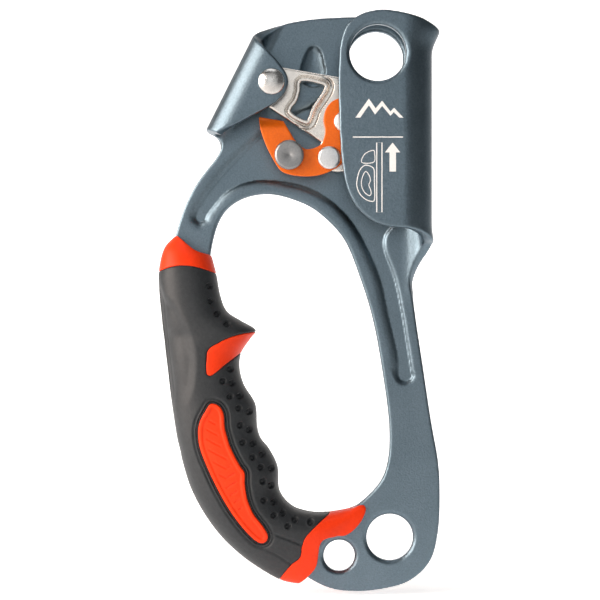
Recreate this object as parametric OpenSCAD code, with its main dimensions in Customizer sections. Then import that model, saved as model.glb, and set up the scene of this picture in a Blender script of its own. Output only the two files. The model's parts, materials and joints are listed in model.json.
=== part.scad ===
// Handled rope ascender, right hand. Millimetres, Z up along the rope, front face towards -Y.
// The origin is the middle of the large attachment bore at the foot of the plate.

/* [Plate] */
// Sheet thickness of the frame plate
sheet_t = 3.6; // [3:0.1:5]
// Depth of the pressed relief in the plate
relief = 1.2; // [0.6:0.1:1.6]
// Radius of the large attachment bore
main_r = 7.75; // [6:0.05:9]
// Radius of the small attachment bore
small_r = 5.2; // [4:0.05:6]
// Radius of the top carabiner hole
top_r = 9.2; // [7:0.1:10]
// Bevel round the attachment holes
rim_bevel = 0.6; // [0.2:0.1:1]

/* [Rope channel] */
// Inner radius of the rope channel bend
channel_r = 6.5; // [5.5:0.1:7.5]
// X of the rope channel bend axis
channel_x = 3.5; // [2:0.1:5]

/* [Cam] */
// Inner radius of the left fold that carries the cam axle
fold_r = 4.3; // [3.5:0.1:5]
// Radius of the cam axle shank
axle_r = 2.5; // [2:0.1:3.5]
// Radius of the cam bush
bush_r = 3.6; // [3:0.1:4.5]
// Thickness of the cam body
cam_t = 4.8; // [4:0.1:6]
// Height of the cam teeth
tooth_h = 1.2; // [0.8:0.1:1.8]
// Radius of the dome head of the axle
dome_r = 4.4; // [3.5:0.1:5.5]

/* [Catch] */
// Thickness of the catch lever
lever_t = 2.0; // [1.5:0.1:2.5]
// Radius of the catch knob
knob_r = 4.8; // [4:0.1:6]
// Radius of the catch pivot rivet shank
pivot_r = 1.8; // [1.4:0.1:2.4]

/* [Handle] */
// Wall of the rubber grip over the core
skin_t = 2.6; // [1.5:0.1:3.5]
// Scale of handle depth
grip_depth = 1; // [0.8:0.05:1.1]
// Gap between the shells and the plate
shell_gap = 0.15; // [0.1:0.05:0.4]

/* [Hidden] */
$fn = 64;
eps = 0.01;
front_y = -sheet_t / 2;
back_y = sheet_t / 2;
floor_y = front_y + relief;
channel_y = floor_y - channel_r;
channel_out = channel_r + sheet_t;
fold_y = front_y - fold_r;
fold_out = fold_r + sheet_t;
fold_top = [-45.5, 166.5];
fold_foot = [-61.1, 135.4];
fold_out_step = 2 * [-0.894, 0.448];
fold_angle = atan2(fold_top[1] - fold_foot[1], fold_top[0] - fold_foot[0]);
axle = [-39.3, 150.5];
pivot = [-15.5, 137.9];
guide = [-20.4, 126.0];
knob = [-33.5, 126.8];
small = [-16.9, -6.1];
top_hole = [-4.65, 159.7];
cam_back = front_y - 0.6;
cam_front = cam_back - cam_t;
lever_back = cam_front - 0.2;
lever_front = lever_back - lever_t;
flap_front = channel_y - channel_out;
ear_in = fold_y - fold_r;
ear_front = fold_y - fold_out;
run = 0.05;

// ---- curves ----
function spline_at(a, b, c, d, t) = 0.5 * (2 * b + (c - a) * t
    + (2 * a - 5 * b + 4 * c - d) * t * t + (3 * b - a - 3 * c + d) * t * t * t);
function closed_curve(p, n = 5) = [for (i = [0 : len(p) - 1], k = [0 : n - 1])
    spline_at(p[(i + len(p) - 1) % len(p)], p[i], p[(i + 1) % len(p)], p[(i + 2) % len(p)], k / n)];
function open_curve(p, n = 4) = [for (i = [0 : len(p) - 2], k = [0 : n - 1])
    spline_at(p[max(i - 1, 0)], p[i], p[i + 1], p[min(i + 2, len(p) - 1)], k / n)];

// Draws an outline given in X and Z as a slab between two Y values
module slab(y0, y1) {
    translate([0, max(y0, y1), 0])
        rotate([90, 0, 0])
            linear_extrude(abs(y1 - y0))
                children();
}
// A cylinder along Y at an X, Z place, between two Y values
module pin(at, r, y0, y1) {
    translate([at[0], max(y0, y1), at[1]])
        rotate([90, 0, 0])
            cylinder(h = abs(y1 - y0), r = r);
}
// A cone along Y, radius ra at ya and rb at yb, with ya behind yb
module taper(at, ra, rb, ya, yb) {
    translate([at[0], ya, at[1]])
        rotate([90, 0, 0])
            cylinder(h = ya - yb, r1 = ra, r2 = rb);
}
// A hole with bevelled rims through a sheet lying between yf and yb
module bevelled_hole(at, r, yf, yb, bevel) {
    pin(at, r, yf - 1, yb + 1);
    taper(at, r + bevel + eps, r, yb + eps, yb - bevel);
    taper(at, r, r + bevel + eps, yf + bevel, yf - eps);
}

// ---- plate outlines ----
opening_pts = [[-40.6, 114.5], [-31.3, 112.4], [-23.5, 108.2], [-15.2, 99.4], [-9.6, 85.8],
    [-5.6, 72.5], [-2.6, 56.5], [-0.2, 38], [-0.7, 25.2], [-4.4, 16.8], [-14, 8.8], [-25, 6.2],
    [-35, 9], [-44.5, 16.2], [-51.5, 28], [-56.6, 45], [-59.6, 63], [-60.6, 82.5], [-59.4, 97],
    [-56, 107.2], [-49.6, 112.7]];
foot_pts = [[7.7, 81], [8.7, 72.5], [10.7, 59.2], [13.7, 39.2], [16.1, 25.4], [16.7, 14],
    [16.1, 2], [13.5, -7.7], [7, -14.2], [-1.5, -17], [-12, -18], [-22, -16.2], [-34, -9],
    [-47, 0.8], [-57, 12], [-64, 25.2], [-68.8, 40], [-71.4, 56], [-73, 72.5], [-73.6, 86],
    [-72.6, 96], [-69, 108.5], [-64.5, 117.8], [-58.4, 125.8]];
module plate_outline() {
    polygon(concat(
        [fold_top + fold_out_step, fold_top, [-41.7, 169.5], [-35.3, 171.2],
            [-26, 172.8], [-15, 173.5], [-4, 173.2],
            [5, 172.2], [12.5, 169.6], [15.6, 168.2], [15.6, 100.4], [12.9, 98.8],
            [12.2, 95.4], [11.2, 92],
            [9.2, 87.6]],
        open_curve(foot_pts),
        [[-56.4, 129.2], [-56.6, 131.6], [-57.4, 133.1], [-60.8, 134.3], fold_foot,
            fold_foot + fold_out_step]));
}
module channel_flap_outline() {
    polygon(concat(
        open_curve([[-16.4, 164.5], [-14.6, 168.6], [-10, 172.2], [-4.1, 173.5], [2.1, 173.1],
            [8.3, 171.6], [12.5, 169.6]]),
        [[12.5, 169.6], [15.6, 168.2], [15.6, 100.4]],
        open_curve([[12.9, 98.8], [9.6, 101.3], [4.6, 102.7], [-0.4, 103.1], [-5.3, 104.5],
            [-9.7, 107.6], [-12.8, 111.6], [-15, 117], [-16.2, 124], [-17, 134], [-17.4, 149],
            [-17.1, 159.5]]),
        [[-17.1, 159.5]]));
}
module ear_outline() {
    polygon(concat([fold_top + fold_out_step, fold_top, [-44.4, 164.6]],
        open_curve([[-36.9, 156.7], [-34.7, 153.7], [-33.8, 150.6], [-34.9, 146.9], [-37.8, 144]]),
        [[-40.6, 142.2], [-56.6, 133.9], fold_foot, fold_foot + fold_out_step]));
}
module relief_outline() {
    polygon(concat(
        open_curve([[-63.4, 104.7], [-65, 106.4], [-63.9, 109.8], [-60, 115.6], [-54.6, 122.2],
            [-43, 133.5]]),
        open_curve([[-43, 133.5], [-31.3, 141.2], [-26, 143.5], [-19.6, 147.5], [-15.4, 153],
            [-15, 160], [-13, 168], [-9, 174.5]], 3),
        [[-7, 180], [20, 180], [20, 104]],
        open_curve([[0.2, 103.3], [-1.6, 100.4], [-1.6, 95.4], [1.7, 86.5], [4.2, 75],
            [7.2, 56.5], [7.4, 53.2]]),
        [[7.4, 53.2]],
        open_curve([[5.1, 51.9], [2.7, 53.4], [2.2, 61], [-0.8, 74], [-3.8, 87], [-10.3, 101.1],
            [-17.2, 109.9], [-25.6, 115.6], [-35.5, 118.4], [-45, 118.9], [-53.9, 115.6],
            [-60.2, 109]]),
        [[-61.5, 105.9]]));
}
module teardrop_outline() {
    polygon(closed_curve([[-25.3, 163.9], [-23.9, 163.3], [-22.7, 161.6], [-21.9, 158.5],
        [-21.4, 155], [-22.6, 151.5], [-25.5, 150.2], [-28.6, 151.5], [-29.8, 155],
        [-29.2, 158.5], [-28, 161.6], [-26.8, 163.3]], 3));
}
// The strip of the sheet taken up by the left fold
fold_end = -2.2;
fold_leg = 1;
fold_slim = 0.03;
module fold_strip() {
    translate(fold_foot)
        rotate(fold_angle - 90)
            translate([-20, fold_end])
                square([fold_out + 20 + fold_leg / 2, 60]);
}
// Half tube of the left fold with a short straight leg on each side, running past its ends
module fold_tube() {
    lean = 90 - fold_angle;
    translate([fold_foot[0], fold_y, fold_foot[1]])
        rotate([0, lean, 0])
            translate([fold_out, 0, fold_end])
                difference() {
                    union() {
                        cylinder(h = 55, r = fold_out - fold_slim);
                        translate([0, fold_slim - fold_out, 0])
                            cube([fold_leg, 2 * (fold_out - fold_slim), 55]);
                    }
                    translate([0, 0, -1])
                        cylinder(h = 57, r = fold_r + fold_slim);
                    translate([0, -fold_r - fold_slim, -1])
                        cube([fold_leg + 1, 2 * (fold_r + fold_slim), 57]);
                    translate([fold_leg, -fold_out - 1, -1])
                        cube([fold_out + 1, 2 * fold_out + 2, 57]);
                }
}
// Half tube of the rope channel
module channel_tube() {
    translate([channel_x, channel_y, 81])
        difference() {
            cylinder(h = 95, r = channel_out);
            translate([0, 0, -1])
                cylinder(h = 97, r = channel_r);
            translate([-channel_out - 1, -channel_out - 1, -1])
                cube([channel_out + 1, 2 * channel_out + 2, 97]);
        }
}

module frame() {
    color([0.36, 0.42, 0.45])
    difference() {
        union() {
            // flat back plate with its pressed relief
            difference() {
                slab(front_y, back_y)
                    difference() {
                        plate_outline();
                        fold_strip();
                        translate([channel_x, 81])
                            square([40, 120]);
                    }
                slab(front_y - 1, floor_y)
                    relief_outline();
            }
            slab(back_y - eps, back_y + relief)
                difference() {
                    intersection() {
                        plate_outline();
                        relief_outline();
                    }
                    fold_strip();
                    translate([channel_x, 81])
                        square([40, 120]);
                }
            // rope channel: back quarter, front quarter and the flap
            intersection() {
                channel_tube();
                slab(channel_y, 10)
                    plate_outline();
            }
            intersection() {
                channel_tube();
                slab(-40, channel_y + eps)
                    channel_flap_outline();
            }
            slab(flap_front, flap_front + sheet_t)
                difference() {
                    channel_flap_outline();
                    translate([channel_x, 60])
                        square([40, 160]);
                }
            // left fold: back quarter, front quarter and the axle ear
            intersection() {
                fold_tube();
                slab(fold_y, 10)
                    plate_outline();
            }
            intersection() {
                fold_tube();
                slab(-40, fold_y + eps)
                    ear_outline();
            }
            slab(ear_front, ear_in)
                difference() {
                    ear_outline();
                    fold_strip();
                }
        }
        slab(-9, 9)
            polygon(closed_curve(opening_pts));
        slab(front_y - 1, floor_y + 0.5)
            teardrop_outline();
        bevelled_hole([0, 0], main_r, front_y, back_y, rim_bevel);
        bevelled_hole(small, small_r, front_y, back_y, rim_bevel);
        bevelled_hole(top_hole, top_r, flap_front, flap_front + sheet_t, rim_bevel);
        bevelled_hole(top_hole, top_r, floor_y, back_y + relief, rim_bevel);
        pin(axle, axle_r + run, ear_front - 1, back_y + 1);
        for (at = dowel_places)
            pin(at, dowel_r + run, front_y - 1, back_y + 1);
    }
}

// ---- cam ----
face_at = [-19.6, 138.5];
face_r = 26.5;
function cam_face(a0, a1, n) = [for (i = [0 : n])
    face_at + face_r * [cos(a0 + (a1 - a0) * i / n), sin(a0 + (a1 - a0) * i / n)]];
module cam_outline() {
    polygon(concat([[-38.1, 156.2], [-35.7, 156.6], [-17.3, 152.9], [0.5, 149.3]],
        cam_face(14, -24, 19),
        open_curve([[3, 124.6], [-4, 123.4], [-14, 121.9], [-19, 121.7], [-22.6, 123.4],
            [-23.9, 126.6], [-23.6, 129.8]]),
        [[-22.9, 131.2], [-40.6, 143], [-43.4, 146]]));
    translate(axle)
        circle(r = 6.1);
}
window_pts = [[-29.2, 151.4], [-23, 150.3], [-22.2, 148.8], [-25.9, 143.1], [-27.3, 139.5],
    [-28.4, 138.7], [-32.9, 141.5], [-30.9, 145], [-29.9, 148.4]];
module window_outline(grow = 0) {
    if (grow == 0)
        polygon(closed_curve(window_pts, 3));
    else
        polygon([for (p = closed_curve(window_pts, 3))
            p + grow * (p - [-27.4, 145.6]) / norm(p - [-27.4, 145.6])]);
}
module cam() {
    color([0.80, 0.78, 0.74])
    difference() {
        union() {
            slab(cam_front, cam_back)
                cam_outline();
            // wide nose that fills the rope channel
            slab(channel_y - 5.2, channel_y + 5.2)
                intersection() {
                    cam_outline();
                    translate([-6, 100])
                        square([30, 60]);
                }
            // raised rim round the window
            slab(cam_front - 0.6, cam_back)
                window_outline(1.5);
        }
        slab(-20, 5)
            window_outline();
        pin(axle, bush_r + run, -20, 5);
        pin(pivot, pivot_r + run, cam_front - 5, cam_back + 1);
        pin(pivot, 3.6, cam_back - 2.4, cam_back + 1);
        // curved slot that holds the guide rivet to its travel
        slab(-20, 5)
            guide_slot();
    }
}
guide_arm = norm(guide - pivot);
guide_angle = atan2(guide[1] - pivot[1], guide[0] - pivot[0]);
catch_swing = 8;
module guide_slot() {
    w = 1.5;
    steps = 8;
    sweep = catch_swing + 2;
    polygon(concat(
        [for (i = [0 : steps]) pivot + (guide_arm + w)
            * [cos(guide_angle - 1 + sweep * i / steps), sin(guide_angle - 1 + sweep * i / steps)]],
        [for (i = [steps : -1 : 0]) pivot + (guide_arm - w)
            * [cos(guide_angle - 1 + sweep * i / steps), sin(guide_angle - 1 + sweep * i / steps)]]));
    for (a = [0, catch_swing])
        translate(pivot + guide_arm * [cos(guide_angle + a), sin(guide_angle + a)])
            circle(r = w);
}
// Rows of small pointed teeth on the nose of the cam
module cam_teeth() {
    color([0.78, 0.76, 0.72])
    for (row = [0 : 6], col = [0 : 3])
        tooth(9 - row * 5, channel_y + (col - 1.5) * 2.3 + (row % 2 == 0 ? 0.5 : -0.5));
}
module tooth(a, y) {
    translate([face_at[0] + face_r * cos(a), y, face_at[1] + face_r * sin(a)])
        rotate([0, 90 - a, 0])
            cylinder(h = tooth_h, r1 = 0.85, r2 = 0.2, $fn = 16);
}
module cam_bush() {
    color([0.72, 0.66, 0.42])
    difference() {
        pin(axle, bush_r, ear_in + 0.1, front_y - 0.1);
        pin(axle, axle_r + run, -30, 5);
    }
}
module cam_axle() {
    color([0.86, 0.86, 0.84])
    union() {
        pin(axle, axle_r, ear_front - 0.2, back_y + 1.2);
        // shallow dome head on the axle ear
        translate([axle[0], ear_front, axle[1]])
            rotate([90, 0, 0])
                rotate_extrude()
                    polygon(concat([[0, 0], [dome_r, 0], [dome_r, 0.3]],
                        [for (i = [1 : 7]) [dome_r * cos(i * 11.25), 0.3 + 1.9 * sin(i * 11.25)]],
                        [[0.4, 2.2], [0, 2.2]]));
    }
}
module cam_axle_collar() {
    color([0.75, 0.75, 0.73])
    difference() {
        union() {
            pin(axle, 4.6, back_y, back_y + 0.9);
            taper(axle, 3.4, 4.4, back_y + 1.6, back_y + 0.9 - eps);
        }
        pin(axle, axle_r + run, 0, 10);
    }
}
module cam_washers() {
    color([0.7, 0.7, 0.68])
    for (y = [front_y - 0.55, cam_front - 0.55])
        difference() {
            pin(axle, 5.2, y, y + 0.5);
            pin(axle, bush_r + run, y - 1, y + 2);
        }
}
module spring_coil(at, y0, coil_r, wire, turns, pitch) {
    for (t = [0 : turns - 1])
        translate([at[0], y0 - t * pitch, at[1]])
            rotate([90, 0, 0])
                rotate_extrude()
                    translate([coil_r, 0])
                        circle(r = wire / 2, $fn = 40);
}
module cam_spring() {
    color([0.6, 0.6, 0.62])
    union() {
        spring_coil(axle, cam_front - 1.1, 4.3, 0.9, 2, 1.1);
        // legs: one rests on the cam, one in the fold
        translate([axle[0] + 4.3, cam_front - 1.1, axle[1]])
            rotate([0, 90, 0])
                cylinder(h = 3, r = 0.4);
        translate([axle[0] - 4.3, cam_front - 2.2, axle[1]])
            rotate([0, -90, 0])
                cylinder(h = 2.4, r = 0.4);
    }
}

// ---- catch ----
lever_out = [[-43.6, 139.6], [-42.9, 135], [-41, 129.8], [-38.4, 124.8], [-36, 121.4],
    [-32.4, 120.3], [-28.2, 119.9], [-24, 120.2], [-20.4, 121.4], [-16.8, 123.6], [-12, 128],
    [-8.6, 132.6], [-7.6, 137.9], [-8.8, 141.9], [-11.6, 144.8], [-15.5, 145.8], [-19.2, 144.7],
    [-21.4, 142], [-22.2, 138.5], [-21.6, 134.9], [-22.5, 131.3], [-24, 129.8], [-26.6, 128.9],
    [-28.8, 129.2], [-31.5, 131.7], [-33.8, 135.4], [-35.4, 138.2]];
module lever_outline() {
    polygon(lever_out);
}
module catch_lever() {
    color([1.0, 0.50, 0.02])
    difference() {
        union() {
            slab(lever_front, lever_back)
                lever_outline();
            // tab bent back round the edge of the cam
            slab(lever_front, cam_back - 1.2)
                polygon([[-43.6, 139.6], [-43.25, 137.4], [-34.6, 136.4], [-35.4, 138.2]]);
        }
        pin(pivot, pivot_r + run, -30, 5);
        pin(knob, 1.6, -30, 5);
        pin(guide, 1.3, -30, 5);
    }
}
module catch_pivot() {
    color([0.85, 0.84, 0.82])
    union() {
        pin(pivot, pivot_r, lever_front - 0.1, cam_back);
        taper(pivot, 3.4, 2.8, lever_front - 0.05, lever_front - 1.2);
    }
}
module catch_knob() {
    color([0.55, 0.56, 0.56])
    union() {
        pin(knob, 1.6, lever_front, lever_back);
        pin(knob, knob_r, lever_front - 3, lever_front);
        taper(knob, knob_r, knob_r - 0.7, lever_front - 3 + eps, lever_front - 3.7);
    }
}
module catch_guide() {
    color([0.85, 0.84, 0.82])
    union() {
        pin(guide, 1.3, lever_front, cam_back - 0.8);
        pin(guide, 3.8, lever_front - 0.7, lever_front);
        taper(guide, 3.8, 3.2, lever_front - 0.7 + eps, lever_front - 1.3);
    }
}
module catch_spring() {
    color([0.6, 0.6, 0.62])
    union() {
        spring_coil(pivot, cam_back - 0.5, 2.7, 0.6, 3, 0.75);
        translate([pivot[0] - 2.7, cam_back - 0.5, pivot[1]])
            rotate([0, -90, 0])
                cylinder(h = 0.8, r = 0.28);
    }
}

// ---- handle ----
// Each station: point on the palm side, point on the finger side, half depth
stations = [
    [[-71.3, 100.8], [-59.7, 94.4], 5.6],
    [[-75.2, 96.6], [-58.9, 91.6], 8.8],
    [[-77.0, 89.4], [-57.9, 87.6], 11.0],
    [[-76.9, 82.0], [-56.6, 80.6], 12.2],
    [[-76.2, 74.6], [-54.4, 75.4], 12.9],
    [[-75.7, 69.6], [-49.6, 72.2], 13.1],
    [[-75.3, 66.6], [-44.8, 69.2], 13.1],
    [[-75.0, 63.8], [-46.6, 66.2], 13.2],
    [[-74.6, 60.4], [-49.6, 61.6], 13.3],
    [[-74.0, 55.6], [-50.2, 56.6], 13.4],
    [[-73.2, 48.6], [-48.7, 50.8], 13.5],
    [[-72.2, 41.2], [-44.9, 44.4], 13.6],
    [[-71.0, 33.6], [-44.2, 37.0], 13.6],
    [[-69.4, 25.6], [-41.2, 30.4], 13.6],
    [[-66.4, 16.6], [-37.4, 23.4], 13.5],
    [[-62.0, 8.2], [-36.8, 15.6], 13.2],
    [[-56.2, 0.4], [-32.6, 10.4], 12.6],
    [[-49.2, -6.2], [-26.4, 8.4], 11.4],
    [[-42.0, -11.2], [-20.4, 8.4], 10.0],
    [[-36.0, -14.4], [-13.6, 9.6], 8.2],
    [[-30.0, -15.6], [-8.6, 11.4], 6.2],
    [[-22.0, -16.5], [-2.0, 9.5], 4.6]];
ring_n = 12;
opening_mid = [-33, 62];
first_grip = 2;
last_grip = 18;

// Front half ring of a station, with the wall t taken off
function half_ring(s, t) =
    let (mid = (s[0] + s[1]) / 2,
        half = (s[0] - s[1]) / 2,
        w = norm(half) - t,
        u = half / norm(half),
        d = s[2] * grip_depth - t)
    [for (k = [0 : ring_n])
        let (a = 180 * k / ring_n,
            x = w * sign(cos(a)) * pow(abs(cos(a)), 0.85),
            y = -d * pow(sin(a), 0.8))
        [mid[0] + u[0] * x, y, mid[1] + u[1] * x]];
module half_loft(from, to, t) {
    n = ring_n + 1;
    count = to - from + 1;
    pts = [for (i = [from : to]) each half_ring(stations[i], t)];
    walls = [for (i = [0 : count - 2], k = [0 : ring_n - 1]) each
        [[i * n + k, (i + 1) * n + k, i * n + k + 1],
        [(i + 1) * n + k, (i + 1) * n + k + 1, i * n + k + 1]]];
    floors = [for (i = [0 : count - 2]) each
        [[i * n, i * n + ring_n, (i + 1) * n],
        [i * n + ring_n, (i + 1) * n + ring_n, (i + 1) * n]]];
    lids = concat([[for (k = [0 : ring_n]) k]],
        [[for (k = [ring_n : -1 : 0]) (count - 1) * n + k]]);
    polyhedron(points = pts,
        faces = [for (f = concat(walls, floors, lids)) [for (k = [len(f) - 1 : -1 : 0]) f[k]]]);
}
// Room left for the bar of the plate that runs through the handle
module bar_room() {
    slab(front_y - shell_gap, back_y + shell_gap)
        difference() {
            plate_outline();
            polygon([for (p = closed_curve(opening_pts))
                p + shell_gap * (opening_mid - p) / norm(opening_mid - p)]);
        }
}
dowel_r = 2;
dowel_places = [[-67, 80], [-56, 22]];
module dowel_room() {
    for (at = dowel_places)
        pin(at, dowel_r + run, -6.6, 6.6);
}
module inlay_outline() {
    polygon(closed_curve([[-59.1, 45.2], [-56.3, 44.4], [-54.9, 41.6], [-54.6, 37.5],
        [-53.5, 33.3], [-52.5, 30.5], [-49.7, 25], [-48.1, 22.6], [-48, 18.8], [-47.2, 14],
        [-45.2, 9.1], [-42.1, 5], [-40.5, 1.9], [-41, 0], [-42.5, -0.7], [-44.6, 0.2],
        [-48, 3.6], [-52.2, 9.1], [-56.3, 16], [-59.7, 22.9], [-62.5, 29.9], [-63.3, 34.7],
        [-62.9, 38.9], [-60.8, 43]], 2));
}
module horn_outline() {
    polygon(concat(open_curve([[-36, 69.4], [-45.2, 68.5], [-48.2, 68.2], [-52.9, 66.9],
        [-56.5, 65.2], [-59.8, 63.1], [-60.5, 60.1], [-60.6, 55.9], [-60.2, 54.7],
        [-58.6, 54.6], [-54.1, 58.3], [-49.3, 61.9]], 2), [[-44, 64]]));
}
// Keeps the foot collar clear of the small attachment bore and gives it a rounded end
module foot_end_outline() {
    polygon(concat(open_curve([[-9.6, 13.5], [-8.6, 11], [-8.1, 9], [-10.4, 4.7], [-14.7, 1.2],
        [-21, 0.4], [-23.3, -1.6], [-24, -6.3], [-25, -9.9], [-28.3, -13.7], [-33, -17.5]], 3),
        [[-33, -17.5], [-60, -30], [-60, 20], [-9.6, 20]]));
}
module core_half() {
    color([0.16, 0.16, 0.17])
    difference() {
        half_loft(1, 19, skin_t);
        bar_room();
        dowel_room();
    }
}
// The part of the outer handle shape between two stations, outside the core
module sleeve(from, to) {
    difference() {
        half_loft(from, to, 0);
        half_loft(1, 19, skin_t);
        bar_room();
    }
}
module grip_half() {
    color([0.25, 0.25, 0.25])
    difference() {
        sleeve(first_grip, last_grip);
        slab(-20, -7)
            inlay_outline();
        slab(-20, 1)
            horn_outline();
    }
}
module inlay_half() {
    color([0.95, 0.27, 0.13])
    intersection() {
        sleeve(first_grip, last_grip);
        slab(-20, -7)
            inlay_outline();
    }
}
module horn_half() {
    color([0.95, 0.27, 0.13])
    intersection() {
        sleeve(first_grip, last_grip);
        slab(-20, 1)
            horn_outline();
    }
}
module collar_half(from, to) {
    color([0.95, 0.27, 0.13])
    sleeve(from, to);
}
module core_front() {
    core_half();
}
module core_rear() {
    mirror([0, 1, 0])
        core_half();
}
module grip_front() {
    grip_half();
}
module grip_rear() {
    mirror([0, 1, 0])
        grip_half();
}
module inlay_front() {
    inlay_half();
}
module inlay_rear() {
    mirror([0, 1, 0])
        inlay_half();
}
module horn_front() {
    horn_half();
}
module horn_rear() {
    mirror([0, 1, 0])
        horn_half();
}
module top_collar_front() {
    collar_half(0, first_grip);
}
module top_collar_rear() {
    mirror([0, 1, 0])
        collar_half(0, first_grip);
}
module foot_collar_half() {
    color([0.95, 0.27, 0.13])
    intersection() {
        sleeve(last_grip, 21);
        slab(-20, 1)
            foot_end_outline();
    }
}
module foot_collar_front() {
    foot_collar_half();
}
module foot_collar_rear() {
    mirror([0, 1, 0])
        foot_collar_half();
}
module shell_dowels() {
    color([0.7, 0.7, 0.68])
    for (at = dowel_places)
        pin(at, dowel_r, -6.5, 6.5);
}

frame();
cam();
cam_teeth();
cam_bush();
cam_axle();
cam_axle_collar();
cam_washers();
cam_spring();
catch_lever();
catch_pivot();
catch_knob();
catch_guide();
catch_spring();
core_front();
core_rear();
grip_front();
grip_rear();
inlay_front();
inlay_rear();
top_collar_front();
top_collar_rear();
horn_front();
horn_rear();
foot_collar_front();
foot_collar_rear();
shell_dowels();
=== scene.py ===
import json
import math

import bmesh
import bpy
import numpy as np
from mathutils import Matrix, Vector
from mathutils.geometry import tessellate_polygon


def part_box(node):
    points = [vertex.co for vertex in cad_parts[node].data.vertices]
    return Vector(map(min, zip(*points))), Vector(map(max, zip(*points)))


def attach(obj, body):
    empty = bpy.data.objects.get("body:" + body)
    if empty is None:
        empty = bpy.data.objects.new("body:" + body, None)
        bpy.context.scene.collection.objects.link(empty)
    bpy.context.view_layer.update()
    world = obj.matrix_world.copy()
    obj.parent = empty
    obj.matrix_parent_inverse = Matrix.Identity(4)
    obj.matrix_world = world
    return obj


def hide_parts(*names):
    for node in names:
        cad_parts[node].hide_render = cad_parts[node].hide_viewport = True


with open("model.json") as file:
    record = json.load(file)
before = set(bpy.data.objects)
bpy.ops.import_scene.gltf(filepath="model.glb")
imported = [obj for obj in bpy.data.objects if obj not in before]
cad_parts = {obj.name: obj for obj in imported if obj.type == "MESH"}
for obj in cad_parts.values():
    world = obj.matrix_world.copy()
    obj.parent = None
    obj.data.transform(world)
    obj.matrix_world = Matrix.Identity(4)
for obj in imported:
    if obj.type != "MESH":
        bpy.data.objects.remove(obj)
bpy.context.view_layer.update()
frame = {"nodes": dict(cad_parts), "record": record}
MM = 0.001
joints = {j["name"]: j for j in frame["record"]["behaviour"]["joints"]}
mounts = {m["name"]: m for m in frame["record"]["mounts"]}


# ---------------------------------------------------------------- sizes and places, in mm
def place(entry):
    """X and Z of a joint or mount of the record."""
    x, y, z = entry["pos_m"]
    return np.round(np.array([x, z]) / MM, 3)


def middle(node_name):
    """X and Z of the middle of a CAD node."""
    low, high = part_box(node_name)
    return np.round(np.array([low[0] + high[0], low[2] + high[2]]) / 2 / MM, 2)


# The folded sheet and the height of its pressed relief
SHEET = 3.6
HALF = SHEET / 2
RELIEF = 1.2
# Rope channel: where the bend starts, and its inner, neutral and outer radii
CH_X = 3.5
CH_R = 6.5
CH_N = CH_R + HALF
CH_OUT = CH_R + SHEET
CH_LEN = math.pi * CH_N
# Left fold: radii, ends of its outer edge, and the directions across and along it
FOLD_R = 4.3
FOLD_N = FOLD_R + HALF
FOLD_OUT = FOLD_R + SHEET
FOLD_LEN = math.pi * FOLD_N
FOLD_FOOT = np.array([-61.1, 135.4])
FOLD_TOP = np.array([-45.5, 166.5])
FOLD_U = (FOLD_TOP - FOLD_FOOT) / np.linalg.norm(FOLD_TOP - FOLD_FOOT)
FOLD_P = np.array([-FOLD_U[1], FOLD_U[0]])
FOLD_F = FOLD_FOOT - FOLD_P * FOLD_OUT
# Centres of the turned pieces and of the bores, and the bore radii
AXLE = place(joints["cam_pivot"])
PIVOT = place(joints["catch_pivot_hinge"])
GUIDE = middle("catch_guide")
KNOB = middle("catch_knob")
SMALL = place(mounts["small_attachment"])
TOP_HOLE = place(mounts["top_carabiner"])
MAIN_R = mounts["main_attachment"]["dims"]["r_mm"]
SMALL_R = mounts["small_attachment"]["dims"]["r_mm"]
TOP_R = mounts["top_carabiner"]["dims"]["r_mm"]
AXLE_BORE_R, PIVOT_BORE_R, CAM_BORE_R = 2.6, 1.85, 3.65
# Half the width of the cam's nose
NOSE_HALF = 5.2
# Y of the layers, from the plate forwards
CAM_BACK = -HALF - 0.6
CAM_FRONT = CAM_BACK - 4.8
LEVER_BACK = CAM_FRONT - 0.2
LEVER_FRONT = LEVER_BACK - 2.0
CHANNEL_Y = -HALF + RELIEF - CH_R
FLAP_FRONT = CHANNEL_Y - CH_OUT
EAR_FRONT = -HALF - 2 * FOLD_R - SHEET


def voxel(full):
    return full


# ---------------------------------------------------------------- curves
def spline(a, b, c, d, t):
    """Smooth curve from b to c, with a before and d after them."""
    return 0.5 * (2 * b + (c - a) * t + (2 * a - 5 * b + 4 * c - d) * t**2
                  + (3 * b - a - 3 * c + d) * t**3)


def closed_curve(p, n=6):
    """A loop through points p, with n steps between neighbours."""
    p = np.array(p, float)
    a, c, d = np.roll(p, 1, 0), np.roll(p, -1, 0), np.roll(p, -2, 0)
    t = (np.arange(n) / n)[None, :, None]
    a, b, c, d = (q[:, None, :] for q in (a, p, c, d))
    return spline(a, b, c, d, t).reshape(-1, 2)


def open_curve(p, n=6):
    """A curve through points p, with n steps between neighbours."""
    p = np.array(p, float)
    q = np.vstack([p[:1], p, p[-1:]])
    t = (np.arange(n) / n)[:, None]
    out = [spline(*q[i:i + 4], t) for i in range(len(p) - 1)]
    return np.vstack(out + [p[-1:]])


def circle(at, r, n=72):
    """n points round a circle."""
    a = np.linspace(0, 2 * np.pi, n, endpoint=False)
    return np.c_[at[0] + r * np.cos(a), at[1] + r * np.sin(a)]


def nearest(p, loop, closed=True):
    """Distance of points p from a polyline."""
    a = np.asarray(loop, float)
    b = np.roll(a, -1, 0) if closed else a[1:]
    a = a if closed else a[:-1]
    best = np.full(len(p), 1e9)
    for s, e in zip(a, b):
        d = e - s
        length = d @ d
        if length < 1e-12:
            continue
        t = np.clip(((p - s) @ d) / length, 0, 1)
        best = np.minimum(best, ((p - s - t[:, None] * d) ** 2).sum(1))
    return np.sqrt(best)


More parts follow.
